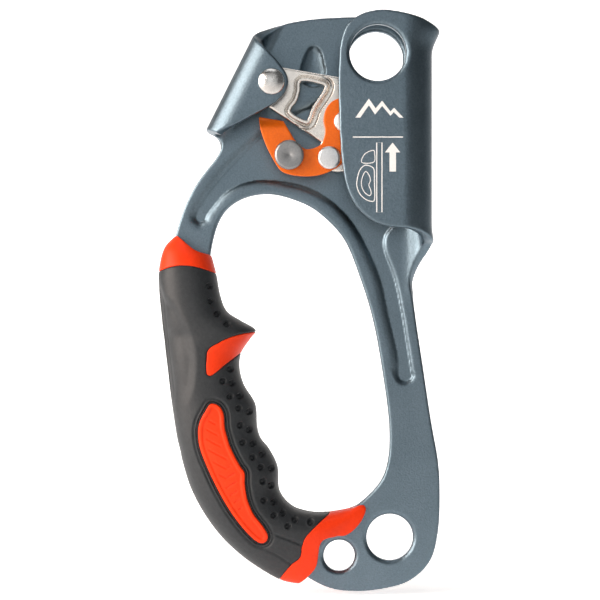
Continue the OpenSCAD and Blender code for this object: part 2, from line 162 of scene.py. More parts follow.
def inside(p, loop):
    """Which of the points p lie inside a closed outline."""
    a = np.asarray(loop, float)
    b = np.roll(a, -1, 0)
    hit = np.zeros(len(p), bool)
    for s, e in zip(a, b):
        if s[1] == e[1]:
            continue
        cross = (s[1] > p[:, 1]) != (e[1] > p[:, 1])
        x = (e[0] - s[0]) * (p[:, 1] - s[1]) / (e[1] - s[1]) + s[0]
        hit ^= cross & (p[:, 0] < x)
    return hit


def signed(p, loop):
    """Distance outside a closed outline; negative inside."""
    return nearest(p, loop) * np.where(inside(p, loop), -1, 1)


def ease(t):
    """0 below 0, 1 above 1, and a soft step between."""
    t = np.clip(t, 0, 1)
    return t * t * (3 - 2 * t)


# ---------------------------------------------------------------- meshes
def make(name, verts, faces):
    """A new mesh object in the scene."""
    name = name.replace(" ", "_")
    me = bpy.data.meshes.new(name)
    me.from_pydata([tuple(v) for v in verts], [], [tuple(f) for f in faces])
    me.update()
    ob = bpy.data.objects.new(name, me)
    bpy.context.scene.collection.objects.link(ob)
    return ob


def slab(name, outer, y0, y1, holes=()):
    """A closed slab of an X, Z outline between two Y values."""
    loops = [np.asarray(outer, float)] + [np.asarray(h, float) for h in holes]
    flat = np.vstack(loops)
    tris = tessellate_polygon([[Vector((x, z, 0)) for x, z in loop] for loop in loops])
    n = len(flat)
    verts = np.vstack([np.c_[flat[:, 0], np.full(n, y0), flat[:, 1]],
                       np.c_[flat[:, 0], np.full(n, y1), flat[:, 1]]])
    faces = [tuple(t) for t in tris] + [tuple(i + n for i in reversed(t)) for t in tris]
    base = 0
    for loop in loops:
        m = len(loop)
        for i in range(m):
            j = (i + 1) % m
            faces.append((base + i, base + j, base + j + n, base + i + n))
        base += m
    ob = make(name, verts, faces)
    fix_normals(ob)
    return ob


def fix_normals(ob):
    """Turns all faces of a closed mesh outwards."""
    bm = bmesh.new()
    bm.from_mesh(ob.data)
    bmesh.ops.recalc_face_normals(bm, faces=bm.faces)
    bm.to_mesh(ob.data)
    bm.free()


def ring_faces(rings, sides, capped=True):
    """Faces of a tube of rings with so many vertices each, laid one after the other."""
    faces = []
    for i in range(rings - 1):
        for k in range(sides):
            j = (k + 1) % sides
            faces.append((i * sides + k, i * sides + j, (i + 1) * sides + j, (i + 1) * sides + k))
    if capped:
        faces.append(tuple(range(sides)))
        faces.append(tuple((rings - 1) * sides + k for k in range(sides))[::-1])
    return faces


def weld(ob, gap=1e-4):
    """Joins vertices that lie on each other."""
    bm = bmesh.new()
    bm.from_mesh(ob.data)
    bmesh.ops.remove_doubles(bm, verts=bm.verts, dist=gap)
    bm.to_mesh(ob.data)
    bm.free()


def lathe(name, at, profile, steps=72):
    """A piece turned about the Y axis through at; profile is (radius, y), open or a closed loop."""
    prof = np.array(profile, float)
    verts = []
    a = np.linspace(0, 2 * np.pi, steps, endpoint=False)
    for r, y in prof:
        verts += [(at[0] + r * math.cos(t), y, at[1] + r * math.sin(t)) for t in a]
    loop = prof[0][0] > 0 and np.allclose(prof[0], prof[-1])
    ob = make(name, verts, ring_faces(len(prof), steps, not loop))
    weld(ob)
    fix_normals(ob)
    return ob


def applied(ob):
    """ob with its modifiers made real."""
    dg = bpy.context.evaluated_depsgraph_get()
    me = bpy.data.meshes.new_from_object(ob.evaluated_get(dg))
    old = ob.data
    ob.modifiers.clear()
    ob.data = me
    bpy.data.meshes.remove(old)
    return ob


def boolean(ob, other, op):
    """ob joined with, cut by or kept inside another piece, which is used up."""
    m = ob.modifiers.new("b", "BOOLEAN")
    m.operation = op
    m.solver = "MANIFOLD"
    m.object = other
    applied(ob)
    bpy.data.objects.remove(other)
    return ob


def remesh(ob, size, smooth):
    """ob rebuilt from voxels of one size, then smoothed so many times."""
    m = ob.modifiers.new("r", "REMESH")
    m.mode = "VOXEL"
    m.voxel_size = size
    s = ob.modifiers.new("s", "SMOOTH")
    s.factor = 0.5
    s.iterations = smooth
    return applied(ob)


def coords(ob):
    """Vertex places as an array."""
    co = np.zeros(len(ob.data.vertices) * 3, np.float32)
    ob.data.vertices.foreach_get("co", co)
    return co.reshape(-1, 3).astype(float)


def normals(ob):
    """Vertex normals as an array."""
    no = np.zeros(len(ob.data.vertices) * 3, np.float32)
    ob.data.vertices.foreach_get("normal", no)
    return no.reshape(-1, 3).astype(float)


def set_coords(ob, co):
    """Moves the vertices to new places."""
    ob.data.vertices.foreach_set("co", np.asarray(co, np.float32).ravel())
    ob.data.update()


def dress(ob, mat):
    """Gives an object one material."""
    ob.data.materials.clear()
    ob.data.materials.append(mat)


def finish_piece(ob, body, mat, nodes=(), smooth=True):
    """Scales a piece from millimetres, dresses it and puts it on its body."""
    set_coords(ob, coords(ob) * MM)
    dress(ob, mat)
    ob.data.polygons.foreach_set("use_smooth", [smooth] * len(ob.data.polygons))
    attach(ob, body)
    if nodes:
        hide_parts(*nodes)
    return ob


# ---------------------------------------------------------------- materials
TURNED_RINGS = 2250.0


def new_material(name):
    """A material, its node tree and its shader."""
    mat = bpy.data.materials.new(name)
    mat.use_nodes = True
    nt = mat.node_tree
    bsdf = nt.nodes["Principled BSDF"]
    return mat, nt, bsdf


def node(nt, kind, **values):
    """A shader node with some of its inputs or settings given."""
    n = nt.nodes.new(kind)
    for k, v in values.items():
        if k in n.inputs:
            n.inputs[k].default_value = v
        else:
            setattr(n, k, v)
    return n


def noise(nt, scale, detail=4.0, rough=0.6):
    """Noise in the piece's own space."""
    tc = node(nt, "ShaderNodeTexCoord")
    n = node(nt, "ShaderNodeTexNoise", Scale=scale, Detail=detail, Roughness=rough)
    nt.links.new(tc.outputs["Object"], n.inputs["Vector"])
    return n


def ramp(nt, src, stops):
    """Colours from a value, by (place, colour) stops."""
    r = node(nt, "ShaderNodeValToRGB")
    e = r.color_ramp.elements
    while len(e) < len(stops):
        e.new(0.5)
    for el, (p, c) in zip(e, stops):
        el.position = p
        el.color = (*c, 1)
    nt.links.new(src, r.inputs["Fac"])
    return r


def grained_nodes(name, dark, light, metallic, rough, grain, bump, rough_var=0.08,
                  patch=40.0, specular=0.5):
    """A finish with a fine grain, soft cloudy tone changes, uneven roughness and a fine bump."""
    mat, nt, bsdf = new_material(name)
    fine = noise(nt, grain, 3.0, 0.7)
    cloud = noise(nt, patch, 5.0, 0.55)
    mix = node(nt, "ShaderNodeMix", data_type="FLOAT")
    mix.inputs[0].default_value = 0.4
    nt.links.new(fine.outputs["Fac"], mix.inputs[2])
    nt.links.new(cloud.outputs["Fac"], mix.inputs[3])
    tone = ramp(nt, mix.outputs[0], [(0.32, dark), (0.68, light)])
    nt.links.new(tone.outputs["Color"], bsdf.inputs["Base Color"])
    span = node(nt, "ShaderNodeMapRange")
    span.inputs["To Min"].default_value = rough - rough_var
    span.inputs["To Max"].default_value = rough + rough_var
    nt.links.new(cloud.outputs["Fac"], span.inputs["Value"])
    nt.links.new(span.outputs["Result"], bsdf.inputs["Roughness"])
    b = node(nt, "ShaderNodeBump", Strength=bump, Distance=0.0002)
    nt.links.new(fine.outputs["Fac"], b.inputs["Height"])
    nt.links.new(b.outputs["Normal"], bsdf.inputs["Normal"])
    bsdf.inputs["Metallic"].default_value = metallic
    bsdf.inputs["Specular IOR Level"].default_value = specular
    return mat, nt, bsdf, b


def grained(*look, **more):
    """A material with a grained finish."""
    return grained_nodes(*look, **more)[0]


def turned(name, dark, light, rough, at):
    """Turned metal: fine rings about an axis along Y."""
    mat, nt, bsdf, b = grained_nodes(name, dark, light, 1.0, rough, 1500.0, 0.15)
    tc = node(nt, "ShaderNodeTexCoord")
    mp = node(nt, "ShaderNodeMapping")
    mp.inputs["Location"].default_value = (-at[0] * MM, 0, -at[1] * MM)
    nt.links.new(tc.outputs["Object"], mp.inputs["Vector"])
    w = node(nt, "ShaderNodeTexWave", wave_type="RINGS", rings_direction="Y", Scale=TURNED_RINGS,
             Distortion=0.6)
    w.inputs["Detail"].default_value = 1.0
    nt.links.new(mp.outputs["Vector"], w.inputs["Vector"])
    b2 = node(nt, "ShaderNodeBump", Strength=0.12, Distance=0.0001)
    nt.links.new(w.outputs["Fac"], b2.inputs["Height"])
    nt.links.new(b.outputs["Normal"], b2.inputs["Normal"])
    nt.links.new(b2.outputs["Normal"], bsdf.inputs["Normal"])
    return mat


plate_mat = grained("anodised plate", (0.116, 0.162, 0.196), (0.186, 0.246, 0.290), 1.0, 0.33,
                    1600.0, 0.5, 0.05, patch=55.0)
cam_mat = grained("plated cam", (0.66, 0.62, 0.57), (0.83, 0.79, 0.74), 1.0, 0.25, 900.0, 0.2)
teeth_mat = grained("cam teeth", (0.42, 0.40, 0.37), (0.58, 0.55, 0.51), 1.0, 0.3, 900.0, 0.2)
lever_mat = grained("orange anodised", (0.76, 0.115, 0.0), (0.90, 0.165, 0.001), 0.3, 0.34,
                    1400.0, 0.35)
dome_mat = turned("polished rivet", (0.58, 0.57, 0.55), (0.74, 0.73, 0.71), 0.16, AXLE)
knob_mat = turned("knob steel", (0.25, 0.255, 0.26), (0.36, 0.365, 0.37), 0.4, KNOB)
guide_mat = turned("guide rivet", (0.66, 0.66, 0.66), (0.86, 0.86, 0.86), 0.3, GUIDE)
pivot_mat = turned("pivot rivet", (0.66, 0.66, 0.66), (0.86, 0.86, 0.86), 0.3, PIVOT)
wire_mat = grained("spring wire", (0.35, 0.35, 0.36), (0.55, 0.55, 0.56), 1.0, 0.3, 2500.0, 0.2)
bush_mat = turned("bronze bush", (0.45, 0.30, 0.12), (0.66, 0.47, 0.22), 0.3, AXLE)
rubber_mat = grained("grip rubber", (0.015, 0.0175, 0.020), (0.029, 0.033, 0.037), 0.0, 0.5,
                     900.0, 0.35, 0.07, patch=30.0, specular=0.42)
trim_mat = grained("red trim", (0.86, 0.038, 0.004), (0.96, 0.052, 0.006), 0.0, 0.45, 900.0, 0.25,
                   0.06, patch=35.0, specular=0.2)
core_mat = grained("hard core", (0.02, 0.02, 0.02), (0.05, 0.05, 0.05), 0.0, 0.5, 500.0, 0.2)
print_mat = grained("white print", (0.80, 0.80, 0.79), (0.92, 0.92, 0.91), 0.0, 0.55, 2500.0, 0.2)

# ---------------------------------------------------------------- plate, as a flat blank
OPENING = closed_curve([[-40.6, 114.5], [-31.3, 112.4], [-23.5, 108.2], [-15.2, 99.4],
                        [-9.6, 85.8], [-5.6, 72.5], [-2.6, 56.5], [-0.2, 38], [-0.7, 25.2],
                        [-4.4, 16.8], [-14, 8.8], [-25, 6.2], [-35, 9], [-44.5, 16.2],
                        [-51.5, 28], [-56.6, 45], [-59.6, 63], [-60.6, 82.5], [-59.4, 97],
                        [-56, 107.2], [-49.6, 112.7]])
FOOT = [[7.7, 81], [8.7, 72.5], [10.7, 59.2], [13.7, 39.2], [16.1, 25.4], [16.7, 14],
        [16.1, 2], [13.5, -7.7], [7, -14.2], [-1.5, -17], [-12, -18], [-22, -16.2], [-34, -9],
        [-47, 0.8], [-57, 12], [-64, 25.2], [-68.8, 40], [-71.4, 56], [-73, 72.5], [-73.6, 86],
        [-72.6, 96], [-69, 108.5], [-64.5, 117.8], [-58.4, 125.8], [-56.5, 129.2],
        [-56.5, 131.6], [-57.6, 133.3]]


def unroll_channel(x, z, front):
    """Place in the flat blank of a point seen at x, z on the back plate or on the flap."""
    if x <= CH_X:
        return (CH_X + CH_LEN + (CH_X - x), z) if front else (x, z)
    a = math.asin(min(1.0, (x - CH_X) / CH_OUT))
    return (CH_X + CH_N * (math.pi - a if front else a), z)


def fold_ab(p):
    """Distances of a point across and along the left fold."""
    d = np.asarray(p, float) - FOLD_F
    return d @ FOLD_P, d @ FOLD_U


def from_ab(a, b):
    """The point at distances a across and b along the left fold."""
    return FOLD_F + FOLD_P * a + FOLD_U * b


def unroll_ear(p, front):
    """Place in the flat blank of a point seen on the back plate or on the ear."""
    a, b = fold_ab(p)
    if a <= 0:
        return from_ab(FOLD_LEN - a, b) if front else np.asarray(p, float)
    t = math.asin(min(1.0, a / FOLD_OUT))
    return from_ab(FOLD_N * (math.pi - t if front else t), b)


ear_edge = np.vstack([
    [[-57.4, 134.1], [-51, 136.7], [-40.6, 142.2]],
    open_curve([[-39.4, 142.9], [-37.6, 144.1], [-34.9, 147], [-33.8, 150.6], [-34.7, 153.7],
                [-36.9, 156.9]], 5),
    [[-41, 161.2], [-44.4, 164.8]]])
ear = [unroll_ear(p, True) for p in ear_edge]
top = [unroll_ear(p, False) for p in [[-45.4, 166.9], [-43.6, 168.6], [-41.4, 169.6]]]
top += [[-35.3, 171.2], [-26, 172.8], [-15, 173.5], [-4, 173.4]]
top += [unroll_channel(x, z, False) for x, z in
        [(3.5, 172.6), (8, 171.2), (11.5, 169.6), (13.0, 168.4), (13.6, 167.9)]]
flap = [unroll_channel(x, z, True) for x, z in
        [(13.0, 168.6), (11.5, 169.9), (8.3, 171.6), (2.1, 173.1), (-4.1, 173.6),
         (-10, 172.2), (-14.4, 168.9), (-16.3, 164.5), (-17.1, 159.5), (-17.4, 149),
         (-17, 134), (-16.2, 124), (-15, 117), (-12.8, 111.6), (-9.7, 107.6),
         (-5.3, 104.5), (-0.4, 103.1), (4.6, 102.7), (9.2, 101.6), (12, 100.2), (13.2, 98.9)]]
channel_foot = [unroll_channel(x, z, False) for x, z in
                [(13.4, 97.6), (12.2, 94.9), (10.4, 91.8), (8.7, 88.2), (7.8, 84.8)]]
ear_foot = [unroll_ear(p, False) for p in [[-59.2, 134.0], [-60.6, 134.6]]]
blank = np.vstack([ear, open_curve(np.vstack([top, flap, channel_foot]), 5),
                   open_curve(FOOT, 6), ear_foot])

main_bore, small_bore = circle((0, 0), MAIN_R), circle(SMALL, SMALL_R)
top_bores = [circle(at, TOP_R) for at in (TOP_HOLE, unroll_channel(*TOP_HOLE, True))]
axle_bores = [circle(at, AXLE_BORE_R, 32) for at in (AXLE, unroll_ear(AXLE, True))]
holes = [OPENING, main_bore, small_bore, *top_bores, *axle_bores]
# Each softened edge, how wide it is and how deep
RIMS = [(main_bore, 1.1, 0.75), (small_bore, 1.1, 0.75), (top_bores[0], 0.9, 0.6),
        (top_bores[1], 0.9, 0.6), (OPENING, 0.65, 0.34), (blank, 0.4, 0.16)]

RECESS = np.vstack([
    open_curve([[-63.4, 104.7], [-65, 106.4], [-63.9, 109.8], [-60, 115.6], [-54.6, 122.2],
                [-43, 133.5], [-31.3, 141.2], [-26, 143.5], [-19.6, 147.5], [-15.4, 153],
                [-15, 160], [-13, 168], [-9, 174.5]]),
    [[-7, 182], [90, 182], [90, 106], [6, 105.8]],
    open_curve([[2.4, 105.2], [0.2, 103.3], [-1.8, 100.2], [-1.7, 95.4], [1.5, 86.5],
                [4.0, 75], [7.0, 56.5], [7.4, 53.4], [5.1, 51.7], [2.6, 53.6], [2.2, 61],
                [-0.8, 74], [-3.8, 87], [-10.3, 101.1], [-17.2, 109.9], [-25.6, 115.6],
                [-35.5, 118.4], [-45, 118.9], [-53.9, 115.6], [-60.2, 108.6], [-61.5, 105.9]])])
TEARDROP = closed_curve([[-25.3, 163.9], [-23.9, 163.3], [-22.7, 161.6], [-21.9, 158.5],
                         [-21.4, 155], [-22.6, 151.5], [-25.5, 150.2], [-28.6, 151.5],
                         [-29.8, 155], [-29.2, 158.5], [-28, 161.6], [-26.8, 163.3]])


# Middle of the recess's narrow tongue down the right arm, by height
TONGUE_Z, TONGUE_X = [50, 75, 87, 101, 110], [5.3, 1.5, -1.5, -6, -8]
# Width of the recess's slope: usual, right of the tongue, at its foot and at the top
SLOPE, TONGUE_SLOPE, FOOT_SLOPE, TOP_SLOPE = 3.3, 1.4, 1.7, 1.5
TONGUE_TOP, FOOT_SLOPE_Z, TOP_SLOPE_Z = 112, 57, 146
# Pressed teardrop: width of its wall and depth
BOWL_WALL, BOWL_DEPTH = 4.2, 1.5
# Flare of the channel at its two mouths: how far, where it starts and over what height
TOP_LIP, TOP_LIP_Z, TOP_LIP_RISE = 2.8, 158.5, 10.5
LOW_LIP, LOW_LIP_Z, LOW_LIP_FALL = 0.7, 104, 7
# Where the two bends start, and over what length they reach their full shape
ROLL_Z, ROLL_GROWS = 74, 14
FOLD_B, FOLD_GROWS = -5.2, 3.4


def relief_level(p):
    """1 in the recess, which is pressed back, and 0 outside it, with a rounded slope between."""
    x, z = p[:, 0], p[:, 1]
    past_tongue = ease((x - np.interp(z, TONGUE_Z, TONGUE_X)) / 2.4 + 0.5) * (z < TONGUE_TOP)
    wide = SLOPE + (TONGUE_SLOPE - SLOPE) * past_tongue
    wide = wide + (FOOT_SLOPE - wide) * ease((FOOT_SLOPE_Z - z) / 4) * (x > -10)
    wide = wide + (TOP_SLOPE - wide) * ease((z - TOP_SLOPE_Z) / 4)
    d = signed(p, RECESS)
    rise = np.clip(d / wide, 0, 1)
    rise = np.sqrt(np.clip(1 - (1 - rise) ** 2, 0, 1))
    return np.where(d <= 0, 1.0, 1 - rise)


def soften_rims(p, t):
    """Bevels the bores and takes the sharpness off the other edges; t is the place in the sheet."""
    skin = np.sign(t) * np.clip(np.abs(t) / HALF, 0, 1)
    for outline, width, depth in RIMS:
        t = t - skin * depth * np.clip(1 - nearest(p, outline) / width, 0, 1)
    return t


def roll_channel(x, z, t, level):
    """X and Y of points of the blank, rolled into the rope channel."""
    past = x - CH_X
    angle = past / CH_N
    centre = RELIEF * np.maximum(level, ease((angle - 0.5) / 0.9)) - CH_N
    lip = TOP_LIP * ease((z - TOP_LIP_Z) / TOP_LIP_RISE) ** 1.6
    lip = lip + LOW_LIP * ease((LOW_LIP_Z - z) / LOW_LIP_FALL)
    r = CH_N + t + lip * np.sin(np.clip(angle, 0, math.pi)) ** 2
    rolling = angle < math.pi
    return (np.where(rolling, CH_X + r * np.sin(angle), CH_X - (past - CH_LEN)),
            np.where(rolling, centre + r * np.cos(angle), centre - CH_N - t))


def fold_ear(a, b, t):
    """X, Y and Z of points of the blank, folded over into the cam's ear."""
    angle = a / FOLD_N
    r = FOLD_N + t
    folding = angle < math.pi
    across = np.where(folding, r * np.sin(angle), -(a - FOLD_LEN))
    y = np.where(folding, -FOLD_N + r * np.cos(angle), -2 * FOLD_N - t)
    at = FOLD_F + FOLD_P * across[:, None] + FOLD_U * b[:, None]
    return np.c_[at[:, 0], y, at[:, 1]]


def bend_plate(co):
    """Presses the relief into the flat blank and bends the channel and the ear."""
    p = co[:, [0, 2]]
    x, z = p[:, 0], p[:, 1]
    level = relief_level(p)
    bowl = np.clip(1 + signed(p, TEARDROP) / BOWL_WALL, 0, 1)
    t = soften_rims(p, co[:, 1]) + BOWL_DEPTH * np.sqrt(1 - bowl ** 2)
    y = t + RELIEF * level
    rolled_x, rolled_y = roll_channel(x, z, t, level)
    roll = np.where(x > CH_X, ease((z - ROLL_Z) / ROLL_GROWS), 0.0)
    bent = np.c_[x + (rolled_x - x) * roll, y + (rolled_y - y) * roll, z]
    a, b = fold_ab(p)
    fold = np.where(a > 0, ease((b - FOLD_B) / FOLD_GROWS), 0.0) * (x < 0)
    return bent + (fold_ear(a, b, t) - bent) * fold[:, None]


plate = slab("plate", blank, -HALF, HALF, holes)
plate = remesh(plate, voxel(0.42), 4)
set_coords(plate, bend_plate(coords(plate)))
finish_piece(plate, "plate", plate_mat, ["frame"])

# ---------------------------------------------------------------- cam
WINDOW = closed_curve([[-29.2, 151.4], [-23, 150.3], [-22.2, 148.8], [-25.9, 143.1],
                       [-27.3, 139.5], [-28.4, 138.7], [-32.9, 141.5], [-30.9, 145],
                       [-29.9, 148.4]])
# The toothed face is an arc from its top down; the other arc goes round the axle
FACE_AT, FACE_R = np.array([-19.6, 138.5]), 26.5
AXLE_END_R = 6.1
GUIDE_SLOT_R = 1.5


def arc(at, r, first, last, n=20):
    """Points of an arc, its ends in degrees."""
    a = np.radians(np.linspace(first, last, n))
    return at + r * np.c_[np.cos(a), np.sin(a)]


FACE = arc(FACE_AT, FACE_R, 14, -24)
CAM = np.vstack([
    [[-17.3, 152.9], [0.5, 149.3]],
    FACE,
    open_curve([[3, 124.6], [-4, 123.4], [-14, 121.9], [-19, 121.7], [-22.6, 123.4],
                [-23.9, 126.6], [-23.6, 129.8], [-22.9, 131.3]]),
    [[-40.4, 143.0]],
    arc(AXLE, AXLE_END_R, 226, 84)])
arm = np.linalg.norm(GUIDE - PIVOT)
toward = math.degrees(math.atan2(*(GUIDE - PIVOT)[::-1]))
SLOT = np.vstack([arc(PIVOT, arm + GUIDE_SLOT_R, toward - 1, toward + 9, 8),
                  arc(PIVOT, arm - GUIDE_SLOT_R, toward + 9, toward - 1, 8)])
cam = slab("cam", CAM, CAM_FRONT, CAM_BACK,
           [WINDOW, circle(AXLE, CAM_BORE_R, 40), circle(PIVOT, PIVOT_BORE_R, 32), SLOT])
NOSE = np.vstack([[[-6, 150.6], [0.5, 149.3]], FACE, [[3, 124.6], [-6, 123.2]]])


def cam_surface(co):
    """Y steps of the cam's front: the window's raised rim, a groove round it and a soft edge."""
    p = co[:, [0, 2]]
    d = signed(p, WINDOW)
    front = (co[:, 1] < CAM_FRONT + 1.2) & (p[:, 0] < -7)
    right = ease(((p[:, 0] + 27.4) * 0.8 - (p[:, 1] - 145.6) * 0.45) / 5)
    rim = 0.5 * ease(d / 0.25) * ease((1.35 - d) / 0.3)
    thin_groove = 0.45 * ease((d - 1.35) / 0.25) * ease((2.1 - d) / 0.25) * (1 - right)
    wide_groove = 1.4 * ease((d - 1.4) / 0.4) * ease((3.3 - d) / 0.5) * right
    edge = np.clip(1 - nearest(p, CAM) / 0.6, 0, 1) * 0.3
    return np.where(front, thin_groove + wide_groove - rim + edge, 0)


cam = boolean(cam, slab("nose", NOSE, CHANNEL_Y - NOSE_HALF, CHANNEL_Y + NOSE_HALF), "UNION")
cam = remesh(cam, voxel(0.16), 6)
co = coords(cam)
co[:, 1] += cam_surface(co)
set_coords(cam, co)
finish_piece(cam, "cam", cam_mat, ["cam"])
dress(frame["nodes"]["cam_teeth"], teeth_mat)

# ---------------------------------------------------------------- catch lever
LEVER = np.vstack([
    [[-43.6, 139.6]],
    open_curve([[-43.3, 137.4], [-42.9, 135], [-41, 129.8], [-38.4, 124.8], [-36, 121.6],
                [-32.4, 120.3], [-28.2, 119.9], [-24, 120.2], [-20.4, 121.4], [-16.8, 123.6],
                [-12, 128], [-8.6, 132.6], [-7.6, 137.9], [-8.8, 141.9], [-11.6, 144.8],
                [-15.5, 145.8], [-19.2, 144.7], [-21.4, 142], [-22.2, 138.5], [-21.6, 134.9],
                [-22.5, 131.3], [-24, 129.8], [-26.6, 128.9], [-28.8, 129.2], [-31.5, 131.7],
                [-33.8, 135.4], [-35.4, 138.2]])])
lever = slab("lever", LEVER, LEVER_FRONT, LEVER_BACK,
             [circle(PIVOT, PIVOT_BORE_R, 24), circle(KNOB, 1.6, 24), circle(GUIDE, 1.3, 24)])
tab = slab("tab", [[-43.6, 139.6], [-43.25, 137.4], [-34.6, 136.4], [-35.4, 138.2]],
           LEVER_FRONT, CAM_BACK - 1.2)
lever = boolean(lever, tab, "UNION")
lever = remesh(lever, voxel(0.2), 4)
co = coords(lever)
# The left arm curves back towards its tab
bend = ease((co[:, 2] - 134.2) / 4.6) * (co[:, 0] < -32)
co[:, 1] += 1.1 * bend ** 2
set_coords(lever, co)
finish_piece(lever, "catch", lever_mat, ["catch_lever"])

# ---------------------------------------------------------------- turned pieces
def turned_piece(name, at, profile, body, mat, nodes=(), steps=72):
    """A lathe piece, finished and put on its body."""
    finish_piece(lathe(name, at, profile, steps), body, mat, nodes)


DOME_R, DOME_RISE = 4.4, 1.9
DOME_FOOT = EAR_FRONT - 0.3
RIVET_END = HALF + 1.2
dome = [(0.0, DOME_FOOT - DOME_RISE)]
dome += [(DOME_R * math.sin(a), DOME_FOOT - DOME_RISE * math.cos(a))
         for a in np.linspace(0.08, math.pi / 2, 14)]
dome += [(DOME_R, EAR_FRONT - 0.15), (4.2, EAR_FRONT), (2.5, EAR_FRONT), (2.5, RIVET_END - 0.1),
         (2.3, RIVET_END), (0.0, RIVET_END)]
turned_piece("cam axle", AXLE, dome, "plate", dome_mat, ["cam_axle"], 96)
turned_piece("axle collar", AXLE,
             [(2.6, HALF), (4.4, HALF), (4.6, HALF + 0.2), (4.6, HALF + 0.7), (4.3, HALF + 1.0),
              (3.6, HALF + 1.4), (3.2, HALF + 1.6), (2.6, HALF + 1.6), (2.6, HALF)],
             "plate", dome_mat, ["cam_axle_collar"])
BUSH_BACK = -HALF - 0.1
BUSH_FRONT = EAR_FRONT + SHEET + 0.1
turned_piece("cam bush", AXLE,
             [(2.55, BUSH_BACK), (3.4, BUSH_BACK), (3.6, BUSH_BACK - 0.2),
              (3.6, BUSH_FRONT + 0.2), (3.4, BUSH_FRONT), (2.55, BUSH_FRONT),
              (2.55, BUSH_BACK)],
             "plate", bush_mat, ["cam_bush"])
for y, nodes in ((-HALF - 0.55, ["cam_washers"]), (CAM_FRONT - 0.55, [])):
    turned_piece("cam washer", AXLE,
                 [(3.65, y), (5.05, y), (5.2, y + 0.12), (5.2, y + 0.38), (5.05, y + 0.5),
                  (3.65, y + 0.5), (3.65, y)],
                 "plate", dome_mat, nodes)


def on_lever(radius_and_rise):
    """Points of a profile from their radius and their rise in front of the lever."""
    return [(r, LEVER_FRONT - rise) for r, rise in radius_and_rise]


turned_piece("knob", KNOB,
             on_lever([(0.0, 3.55), (0.35, 3.5), (0.6, 3.62), (4.0, 3.7), (4.25, 3.66),
                       (4.6, 3.35), (4.8, 3.1), (4.8, 1.0), (4.6, 0.8), (4.1, 0.7),
                       (4.1, 0.35), (4.5, 0.2), (4.5, 0), (1.6, 0), (1.6, -2.0), (0.0, -2.0)]),
             "catch", knob_mat, ["catch_knob"], 96)
turned_piece("guide rivet", GUIDE,
             on_lever([(0.0, 1.3), (2.9, 1.3), (3.3, 1.22), (3.65, 0.95), (3.8, 0.6),
                       (3.8, 0.15), (3.7, 0), (1.3, 0)])
             + [(1.3, CAM_BACK - 0.8), (0.0, CAM_BACK - 0.8)],
             "catch", guide_mat, ["catch_guide"], 96)
turned_piece("pivot rivet", PIVOT,
             on_lever([(0.0, 1.2), (2.6, 1.18), (3.1, 0.95), (3.4, 0.5), (3.4, 0.05),
                       (1.8, 0.05)])
             + [(1.8, CAM_BACK), (0.0, CAM_BACK)],
             "cam", pivot_mat, ["catch_pivot"], 96)


def tube(name, path, r, sides=12):
    """A round wire along a path of 3D points."""
    path = np.array(path, float)
    tan = np.gradient(path, axis=0)
    tan /= np.linalg.norm(tan, axis=1)[:, None]
    up = np.array([0.0, 1.0, 0.0])
    verts = []
    for c, t in zip(path, tan):
        u = np.cross(t, up if abs(t @ up) < 0.95 else np.array([1.0, 0, 0]))
        u /= np.linalg.norm(u)
        v = np.cross(t, u)
        for k in range(sides):
            a = 2 * math.pi * k / sides
            verts.append(c + r * (math.cos(a) * u + math.sin(a) * v))
    ob = make(name, verts, ring_faces(len(path), sides))
    fix_normals(ob)
    return ob


def coil(at, r, y0, y1, turns, start, legs):
    """Path of a coil about Y from y0 to y1, with a straight leg of given length at each end."""
    a = np.linspace(start, start + turns * 2 * math.pi, int(turns * 48))
    y = np.linspace(y0, y1, len(a))
    ring = np.c_[at[0] + r * np.cos(a), y, at[1] + r * np.sin(a)]

    def leg(end, sign, length):
        """Points of a straight leg from its tip to the coil."""
        c, ang = ring[end], a[end]
        t = np.array([-math.sin(ang), 0, math.cos(ang)]) * sign
        return [c + t * length * f for f in np.linspace(1, 0.1, 6)]

    return np.vstack([leg(0, -1, legs[0]), ring, leg(-1, 1, legs[1])[::-1]])


cam_coil = coil(AXLE, 4.3, CAM_FRONT - 1.1, CAM_FRONT - 2.3, 2.3, 0.2, (2.5, 2.0))
catch_coil = coil(PIVOT, 2.7, CAM_BACK - 0.5, CAM_BACK - 2.0, 2.5, 1.2, (1.5, 1.2))
finish_piece(tube("cam spring", cam_coil, 0.45), "plate", wire_mat,
             ["cam_spring"])
finish_piece(tube("catch spring", catch_coil, 0.3), "cam", wire_mat,
             ["catch_spring"])

